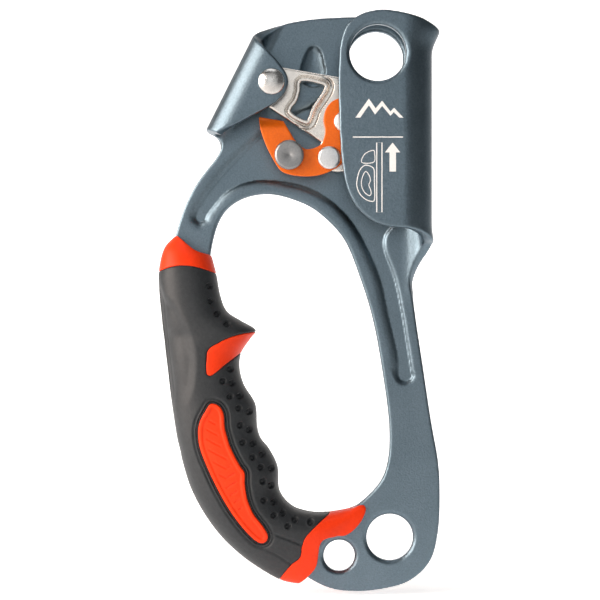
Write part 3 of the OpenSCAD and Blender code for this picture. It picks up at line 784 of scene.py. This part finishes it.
# ---------------------------------------------------------------- handle
# Palm point, finger point, half depth
STATIONS = [((-71.3, 100.8), (-59.7, 94.4), 5.6), ((-75.2, 96.6), (-58.9, 91.6), 8.8),
            ((-77.0, 89.4), (-57.9, 87.6), 11.0), ((-76.9, 82.0), (-56.6, 80.6), 12.2),
            ((-76.2, 74.6), (-54.4, 75.4), 12.9), ((-75.7, 69.6), (-49.6, 72.2), 13.1),
            ((-75.3, 66.6), (-44.8, 69.2), 13.1), ((-75.0, 63.8), (-46.6, 66.2), 13.2),
            ((-74.6, 60.4), (-49.6, 61.6), 13.3), ((-74.0, 55.6), (-50.2, 56.6), 13.4),
            ((-73.2, 48.6), (-48.7, 50.8), 13.5), ((-72.2, 41.2), (-44.9, 44.4), 13.6),
            ((-71.0, 33.6), (-44.3, 37.2), 13.6), ((-69.9, 29.0), (-43.1, 33.0), 13.6),
            ((-69.0, 24.8), (-40.2, 29.3), 13.6),
            ((-66.4, 16.6), (-37.4, 23.4), 13.5), ((-62.0, 8.2), (-36.8, 15.6), 13.2),
            ((-56.2, 0.4), (-32.6, 10.4), 12.6), ((-49.2, -6.2), (-26.4, 8.4), 11.4),
            ((-42.0, -11.2), (-20.4, 8.4), 10.0), ((-36.0, -14.4), (-13.6, 9.6), 8.2),
            ((-30.0, -15.6), (-8.6, 11.4), 6.2), ((-22.0, -16.5), (-2.0, 9.5), 4.6)]
RING = 96
# How square the grip's cross-section is, sideways and front to back
SQUARE_X, SQUARE_Y = 0.85, 0.8


def fine_stations(first, last, n):
    """Rows of palm x, z, finger x, z and half depth, with n steps between stations."""
    rows = np.array([[*a, *b, d] for a, b, d in STATIONS[first:last + 1]])
    q = np.vstack([rows[:1], rows, rows[-1:]])
    return [spline(*q[i:i + 4], t) for i in range(len(rows) - 1)
            for t in np.arange(n) / n] + [rows[-1]]


def loft(name, first, last, t, n=6):
    """The grip's sleeve from one station to another, made smaller all round by t."""
    a = np.linspace(0, 2 * math.pi, RING, endpoint=False)
    cx = np.sign(np.cos(a)) * np.abs(np.cos(a)) ** SQUARE_X
    sy = -np.sign(np.sin(a)) * np.abs(np.sin(a)) ** SQUARE_Y
    verts = []
    rows = fine_stations(first, last, n)
    for r in rows:
        palm, finger, depth = r[0:2], r[2:4], r[4] - t
        mid, half = (palm + finger) / 2, (palm - finger) / 2
        size = np.linalg.norm(half)
        for x, y in zip(cx, sy):
            p = mid + half / size * (size - t) * x
            verts.append((p[0], depth * y, p[1]))
    ob = make(name, verts, ring_faces(len(rows), RING))
    fix_normals(ob)
    return ob


# Where the rubber meets the collars, where the collars end, and the two trim outlines
TOP_JOIN = [[-76.6, 88.7], [-72.7, 90.0], [-68.0, 90.5], [-62.9, 89.7], [-57.2, 87.7]]
TOP_END = [[-73, 102.6], [-71.3, 101.0], [-69.7, 99.7], [-64.7, 95.7], [-59.4, 94.1],
           [-56, 93.6]]
FOOT_JOIN = [[-16, 12.4], [-19.4, 8.8], [-24.0, 5.2], [-28.0, 1.2], [-29.3, -2.1],
             [-30.0, -5.7], [-32.9, -8.3], [-35.9, -12.3], [-38, -17]]
INLAY = closed_curve([[-59.1, 45.2], [-56.3, 44.4], [-54.9, 41.6], [-54.6, 37.5], [-53.5, 33.3],
                      [-52.5, 30.5], [-49.7, 25.0], [-48.1, 22.6], [-48.0, 18.8], [-47.2, 14.0],
                      [-45.2, 9.1], [-42.1, 5.0], [-40.5, 1.9], [-41.0, 0.0], [-42.5, -0.7],
                      [-44.6, 0.2], [-48.0, 3.6], [-52.2, 9.1], [-56.3, 16.0], [-59.7, 22.9],
                      [-62.5, 29.9], [-63.3, 34.7], [-62.9, 38.9], [-60.8, 43.0]], 5)
HORN = np.vstack([open_curve([[-36, 69.4], [-45.2, 68.5], [-48.2, 68.2], [-52.9, 66.9],
                              [-56.5, 65.2], [-59.8, 63.1], [-60.5, 60.1], [-60.6, 55.9],
                              [-60.2, 54.7], [-58.6, 54.6], [-54.1, 58.3], [-49.3, 61.9]], 4),
                  [[-44, 64]]])
FOOT_END = [[-9.6, 13.5], [-8.6, 11.0], [-8.1, 9.0], [-10.4, 4.7], [-14.7, 1.2], [-21.0, 0.4],
            [-23.3, -1.6], [-24.0, -6.3], [-25.0, -9.9], [-28.3, -13.7], [-33, -17.5]]
RIDGE = [[-75.5, 86], [-74.0, 81.6], [-70.1, 78.3], [-67.1, 73.2], [-64.8, 66.7],
         [-63.3, 60.1], [-63.8, 52.0], [-66, 44]]
GRIP_ZONE = np.vstack([open_curve(TOP_JOIN, 6), [[-20, 87.7], [-5, 40], [-5, 14]],
                       open_curve(FOOT_JOIN, 6), [[-60, -30], [-95, 10], [-95, 88.7]]])
TOP_ZONE = np.vstack([open_curve(TOP_JOIN, 6)[::-1], [[-95, 88.7], [-95, 115]],
                      open_curve(TOP_END, 6), [[-50, 90]]])
FOOT_ZONE = np.vstack([open_curve(FOOT_JOIN, 6), open_curve(FOOT_END, 6)[::-1]])
# Gap between the plate and the sleeve that is fitted over it
PLATE_GAP = 0.15
BAR = np.vstack([[[-60, 112], [-56, 128], [-50, 140], [0, 140], [9, 90]],
                 open_curve(FOOT, 4)])
# Near the middle of the hand opening
HAND = np.array([-33, 62])
inward = (HAND - OPENING) / np.linalg.norm(HAND - OPENING, axis=1)[:, None]
bar_opening = OPENING + PLATE_GAP * inward
# Finger side: pressed dots, and the seams at the foot
DIMPLES = [(-59.8, 83.8), (-59.2, 78.8), (-57.2, 74.6), (-53.9, 71.3), (-52.9, 56.5),
           (-55.2, 52.6), (-52.3, 51.9), (-52.9, 47.6), (-49.7, 47.6), (-50.0, 43.7),
           (-46.7, 42.4), (-49.5, 38.1), (-46.7, 36.5), (-48.7, 32.5), (-45.4, 31.9),
           (-45.4, 27.6), (-42.4, 28.4), (-42.8, 24.3), (-39.5, 23.7), (-42.1, 19.7),
           (-39.5, 18.1), (-41.8, 13.5), (-38.5, 12.8), (-38.5, 8.6), (-35.5, 9.1),
           (-31.6, 6.9), (-33.9, 5.0), (-26.4, 5.9)]
SEAMS = [[[-40.2, 2.9], [-34, 0.6], [-29.6, -1.4]], [[-46.4, -0.8], [-38, -4.6], [-32.9, -8.3]]]

shell = boolean(loft("outer", 0, 22, 0), loft("core", 1, 20, 2.6), "DIFFERENCE")
bar = slab("bar", BAR, -HALF - PLATE_GAP, HALF + PLATE_GAP, [bar_opening])
shell = boolean(shell, bar, "DIFFERENCE")


def layer(outline, side, near, far):
    """A slab from near to far of the middle plane, on the front (-1) or rear (+1) side."""
    return slab("layer", outline, *sorted((side * near, side * far)))


def half_piece(name, side, keep, cuts=()):
    """The front (-1) or rear (+1) half of the sleeve inside one outline, less some layers."""
    ob = shell.copy()
    ob.data = shell.data.copy()
    ob.name = name.replace(" ", "_")
    bpy.context.scene.collection.objects.link(ob)
    ob = boolean(ob, layer(keep, side, 0, 30), "INTERSECT")
    for outline, near, far in cuts:
        ob = boolean(ob, layer(outline, side, near, far), "DIFFERENCE")
    return ob


def part_of(name, side, outline, deep):
    """A trim piece of one half, cut by an outline down to a depth."""
    return boolean(half_piece(name, side, GRIP_ZONE), layer(outline, side, deep, 20), "INTERSECT")


def refine(ob, spots, reach, cuts):
    """Splits the faces near some X, Z spots into finer ones."""
    bm = bmesh.new()
    bm.from_mesh(ob.data)
    mids = np.array([((e.verts[0].co + e.verts[1].co) / 2)[:] for e in bm.edges])
    near = np.zeros(len(mids), bool)
    for x, z in spots:
        near |= ((mids[:, 0] - x) ** 2 + (mids[:, 2] - z) ** 2 < reach**2)
    near &= np.abs(mids[:, 1]) > 4
    edges = [e for e, n in zip(bm.edges, near) if n]
    bmesh.ops.subdivide_edges(bm, edges=edges, cuts=cuts, use_grid_fill=True)
    bm.to_mesh(ob.data)
    bm.free()


INLAY_DEEP, HORN_DEEP = 7, -1
FOOT_BORE_GAP_R = 7.1
RUBBER_VOXEL, TRIM_VOXEL = voxel(0.38), voxel(0.3)
RIB_Z = np.arange(8.0, 40.0, 3.2)


def line_mark(d, width):
    """1 on a line and falling softly to 0 beside it, by the distance from it."""
    return np.exp(-(d / width) ** 2)


def dimples(p):
    """Depth of the pressed dots, each with a button in it and a low ring round it."""
    pit = np.zeros(len(p))
    for x, z in DIMPLES:
        d = np.hypot(p[:, 0] - x, p[:, 1] - z)
        pit = np.maximum(pit, 0.95 * ease((1.2 - d) / 0.3) - 0.3 * ease((0.7 - d) / 0.4))
        pit -= line_mark(d - 1.4, 0.22) * 0.10
    return pit


def grip_grooves(p):
    """Depth of the two grooves round the red panel and of the seams."""
    edge = signed(p, INLAY)
    groove = np.maximum(line_mark(edge - 0.45, 0.4) * 1.25, line_mark(edge - 1.6, 0.3) * 0.7)
    for seam in SEAMS:
        groove = np.maximum(groove, line_mark(nearest(p, open_curve(seam, 5), False), 0.32) * 0.5)
    return groove


def palm_facet(p):
    """Depth of the flatter palm side, left of the ridge."""
    ridge = open_curve(RIDGE, 5)
    palm = p[:, 0] < np.interp(p[:, 1], ridge[::-1, 1], ridge[::-1, 0])
    facet = np.where(palm, ease(nearest(p, ridge, False) / 4.0), 0)
    return facet * ease((p[:, 1] - 40) / 12) * ease((88 - p[:, 1]) / 6)


def grip_half(side, tag):
    """One half of the rubber grip."""
    ob = half_piece("grip " + tag, side, GRIP_ZONE,
                    [(INLAY, INLAY_DEEP, 20), (HORN, HORN_DEEP, 20)])
    ob = remesh(ob, RUBBER_VOXEL, 3)
    refine(ob, DIMPLES, 2.0, 2)
    co, no = coords(ob), normals(ob)
    p = co[:, [0, 2]]
    outward = np.clip(side * no[:, 1] * 3, 0, 1) * (np.abs(co[:, 1]) > 3)
    depth = dimples(p) + grip_grooves(p) + palm_facet(p)
    set_coords(ob, co - no * (depth * outward)[:, None])
    finish_piece(ob, "plate", rubber_mat, ["grip_" + tag])


def inlay_half(side, tag):
    """One red panel, with a raised border and slanted ribs."""
    ob = remesh(part_of("inlay " + tag, side, INLAY, INLAY_DEEP), TRIM_VOXEL, 4)
    co, no = coords(ob), normals(ob)
    p = co[:, [0, 2]]
    rim = -signed(p, INLAY)
    face = np.clip(side * no[:, 1] * 3, 0, 1) * (side * co[:, 1] > 9)
    depth = ease((rim - 1.0) / 0.5) * 0.4
    for z in RIB_Z:
        rib = nearest(p, [[-64, z + 5.0], [-54, z], [-40, z + 9.0]], False)
        depth = np.maximum(depth, line_mark(rib, 0.32) * 0.75 * ease((rim - 2.2) / 0.6))
    set_coords(ob, co - no * (depth * face)[:, None])
    finish_piece(ob, "plate", trim_mat, ["inlay_" + tag])


def trim_half(ob, node_name):
    """Finishes a plain trim piece, which stands for one CAD node."""
    finish_piece(remesh(ob, TRIM_VOXEL, 3), "plate", trim_mat, [node_name])


for side, tag in ((-1, "front"), (1, "rear")):
    grip_half(side, tag)
    inlay_half(side, tag)
    trim_half(part_of("horn " + tag, side, HORN, HORN_DEEP), "horn_" + tag)
    trim_half(half_piece("top collar " + tag, side, TOP_ZONE), "top_collar_" + tag)
    trim_half(half_piece("foot collar " + tag, side, FOOT_ZONE,
                         [(circle(SMALL, FOOT_BORE_GAP_R), -30, 30)]), "foot_collar_" + tag)
    dress(frame["nodes"]["core_" + tag], core_mat)
bpy.data.objects.remove(shell)
dress(frame["nodes"]["shell_dowels"], dome_mat)

# ---------------------------------------------------------------- prints on the flap
PRINT_Y = (FLAP_FRONT - 0.10, FLAP_FRONT + 0.15)


def ribbon(path, w):
    """Outline of a line of width w through the points of a path."""
    p = np.array(path, float)
    t = np.gradient(p, axis=0)
    t /= np.linalg.norm(t, axis=1)[:, None]
    n = np.c_[-t[:, 1], t[:, 0]] * w / 2
    return np.vstack([p + n, (p - n)[::-1]])


prints = [
    ribbon([[-12.8, 132.1], [3.5, 132.1]], 0.35),
    np.array([[-12, 138.4], [-7.6, 144.6], [-5.4, 141.4], [-3.3, 143.9], [-0.6, 140.4],
              [0.6, 141.6], [3.6, 138.4], [2.3, 138.4], [0.5, 140.2], [-0.6, 139.0],
              [-3.3, 142.2], [-5.6, 139.4], [-7.6, 142.4], [-10.4, 138.4]]),
    np.array([[0.1, 130.3], [2.6, 127.1], [1.2, 127.1], [1.2, 120.9], [-0.9, 120.9],
              [-0.9, 127.1], [-2.4, 127.1]])]
parts = [slab("print", o, *PRINT_Y) for o in prints]


def hoop(points, w):
    """A closed line of width w, added to the printed marks."""
    c = np.array(points, float)
    t = np.roll(c, -1, 0) - np.roll(c, 1, 0)
    n = np.c_[-t[:, 1], t[:, 0]] / np.linalg.norm(t, axis=1)[:, None] * w / 2
    parts.append(slab("print", c - n, *PRINT_Y, holes=[c + n]))


hoop([[-5.05, 107.7], [-3.35, 107.7], [-3.35, 130.3], [-5.05, 130.3]], 0.35)
hoop(closed_curve([[-10.5, 121.4], [-11.3, 118.8], [-11.5, 116.2], [-10.5, 113.6],
                   [-8.5, 111.8], [-6.3, 111.2], [-5.7, 112.6], [-5.8, 117.8],
                   [-5.9, 121.4], [-7.0, 122.6], [-8.9, 122.9]], 5), 0.3)
hoop(closed_curve([[-8.7, 120.9], [-9.8, 118.8], [-10.0, 116.5], [-9.2, 114.4], [-7.6, 113.1],
                   [-6.9, 113.6], [-7.0, 114.9], [-7.6, 116.5], [-7.1, 118.1],
                   [-7.6, 119.8]], 5), 0.25)
hoop(closed_curve([[-10.0, 124.0], [-8.9, 126.6], [-6.2, 127.8], [-5.7, 126.4], [-5.8, 124.2],
                   [-7.6, 123.6]], 5), 0.25)
verts, faces = [], []
for ob in parts:
    base = len(verts)
    verts += [tuple(v.co) for v in ob.data.vertices]
    faces += [tuple(base + i for i in f.vertices) for f in ob.data.polygons]
    bpy.data.objects.remove(ob)
marks = make("printed marks", verts, faces)
finish_piece(marks, "plate", print_mat, smooth=False)

# ---------------------------------------------------------------- stage, in metres
FLOOR_Z = -0.0192
# Depth behind the object where the floor starts to curve up, and the curve's radius
FLOOR_BACK, CURVE_R = 0.6, 0.5
MIDDLE = (-0.03, 0.0, 0.08)
EYE = (-0.02997, -0.6018, 0.07917)


def card(name, at, size, power, colour=(1, 1, 1)):
    """A rectangular light that faces the middle of the object."""
    light = bpy.data.lights.new(name, "AREA")
    light.shape = "RECTANGLE"
    light.size, light.size_y = size
    light.energy = power
    light.color = colour
    ob = bpy.data.objects.new(name, light)
    ob.location = at
    ob.rotation_euler = (Vector(MIDDLE) - Vector(at)).to_track_quat("-Z", "Y").to_euler()
    bpy.context.scene.collection.objects.link(ob)
    return ob


def glowing_paper_material():
    """Pale paper with a painted glow: its emission is a pool of light, brightest straight behind
    the object.
    """
    mat, nt, bsdf = new_material("pale paper painted glow")
    tone = ramp(nt, noise(nt, 3.0).outputs["Fac"],
                [(0.3, (0.86, 0.86, 0.86)), (0.7, (0.90, 0.90, 0.90))])
    nt.links.new(tone.outputs["Color"], bsdf.inputs["Base Color"])
    # The paper's own tone also colours its painted glow
    nt.links.new(tone.outputs["Color"], bsdf.inputs["Emission Color"])
    bsdf.inputs["Roughness"].default_value = 0.9
    # Painted glow: a spherical gradient sets the emission strength, so the paper shines most
    # straight behind the object though it is no lamp
    tc = node(nt, "ShaderNodeTexCoord")
    mp = node(nt, "ShaderNodeMapping")
    mp.inputs["Location"].default_value = (0.03, -0.62, -0.1)
    nt.links.new(tc.outputs["Object"], mp.inputs["Vector"])
    gr = node(nt, "ShaderNodeTexGradient", gradient_type="SPHERICAL")
    nt.links.new(mp.outputs["Vector"], gr.inputs["Vector"])
    span = node(nt, "ShaderNodeMapRange", **{"From Min": 0.10, "From Max": 0.55,
                                             "To Min": 0.12, "To Max": 1.0})
    nt.links.new(gr.outputs["Fac"], span.inputs["Value"])
    nt.links.new(span.outputs["Result"], bsdf.inputs["Emission Strength"])
    return mat


def backdrop():
    """Pale floor that curves up into a wall."""
    prof = [(-3.0, FLOOR_Z), (FLOOR_BACK, FLOOR_Z)]
    prof += [(FLOOR_BACK + CURVE_R * math.sin(a), FLOOR_Z + CURVE_R - CURVE_R * math.cos(a))
             for a in np.linspace(0.05, math.pi / 2, 16)]
    prof += [(FLOOR_BACK + CURVE_R, 3.0)]
    verts = [(x, y, z) for y, z in prof for x in (-4, 4)]
    faces = [(2 * i, 2 * i + 1, 2 * i + 3, 2 * i + 2) for i in range(len(prof) - 1)]
    ob = make("backdrop", verts, faces)
    ob.data.polygons.foreach_set("use_smooth", [True] * len(faces))
    ob.data.materials.append(glowing_paper_material())


backdrop()
lights = [card("left box", (-0.85, -0.36, 0.30), (0.95, 0.9), 18.5, (1.0, 0.885, 0.80)),
          card("front fill", (-0.20, -1.4, 0.35), (1.0, 1.2), 3.2),
          card("top box", (-0.1, -0.15, 1.0), (0.7, 0.4), 1.4)]
world = bpy.data.worlds.new("studio")
bpy.context.scene.world = world
world.use_nodes = True
background = world.node_tree.nodes["Background"]
background.inputs["Color"].default_value = (1, 1, 1, 1)
background.inputs["Strength"].default_value = 0.12

cam_data = bpy.data.cameras.new("view")
cam_data.sensor_width = 36
cam_data.lens = 108
eye = bpy.data.objects.new("view", cam_data)
eye.location = EYE
eye.rotation_euler = (math.pi / 2, 0, 0)
bpy.context.scene.collection.objects.link(eye)
bpy.context.scene.camera = eye
bpy.context.scene.view_settings.view_transform = "Standard"
